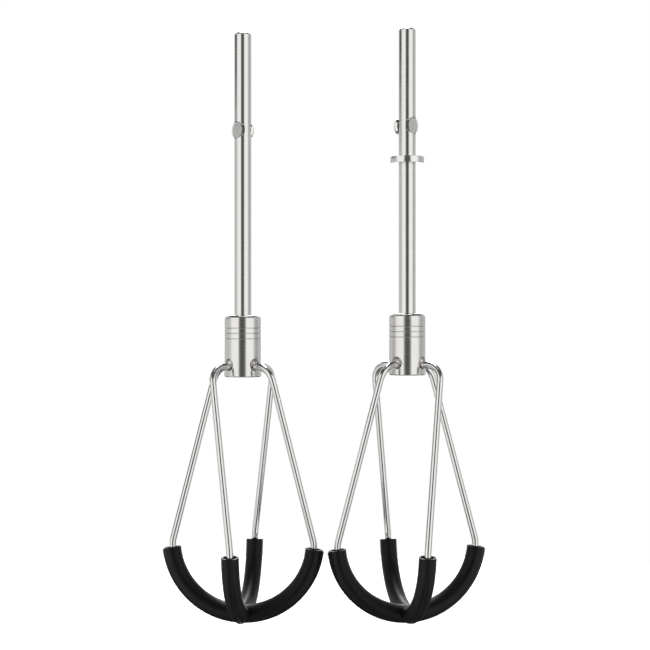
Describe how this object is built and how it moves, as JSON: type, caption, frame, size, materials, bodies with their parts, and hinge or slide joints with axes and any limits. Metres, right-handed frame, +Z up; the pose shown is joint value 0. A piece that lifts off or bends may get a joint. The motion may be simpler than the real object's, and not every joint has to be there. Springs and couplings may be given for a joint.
{
  "type": "hand mixer beater pair",
  "caption": "Matched balloon beaters for an electric hand mixer: steel shafts with drive pins, turned hubs, crossed wire loops and soft black sleeves; a collar marks the second shaft.",
  "frame": {"origin": "on the plain beater's shaft axis, at the middle of its clear shank", "axes": "+Z up the shafts towards their tips, +X from the plain beater to the collared one, +Y to the back"},
  "size_m": [0.1072, 0.0534, 0.196],
  "materials": {
    "ground_steel": "centreless-ground stainless steel rod, bright",
    "polished_steel": "polished stainless steel",
    "turned_steel": "turned stainless steel with fine tool lines, satin",
    "drawn_wire": "drawn and electropolished stainless wire",
    "black_silicone": "moulded black silicone, satin"
  },
  "bodies": {
    "plain_beater": {"plain_shaft": "ground_steel", "plain_drive_pin": "polished_steel", "plain_hub": "turned_steel", "plain_hub_plug": "turned_steel", "plain_lower_wire": "drawn_wire", "plain_upper_wire": "drawn_wire", "plain_lower_sleeve": "black_silicone", "plain_upper_sleeve": "black_silicone"},
    "collared_beater": {"collared_shaft": "ground_steel", "collared_drive_pin": "polished_steel", "collared_collar": "polished_steel", "collared_hub": "turned_steel", "collared_hub_plug": "turned_steel", "collared_lower_wire": "drawn_wire", "collared_upper_wire": "drawn_wire", "collared_lower_sleeve": "black_silicone", "collared_upper_sleeve": "black_silicone"}
  },
  "joints": [
    {"name": "collared_spin", "type": "hinge", "parent": "plain_beater", "child": "collared_beater", "pos_m": [0.0542, 0, 0], "axis": [0, 0, 1], "continuous": true}
  ]
}
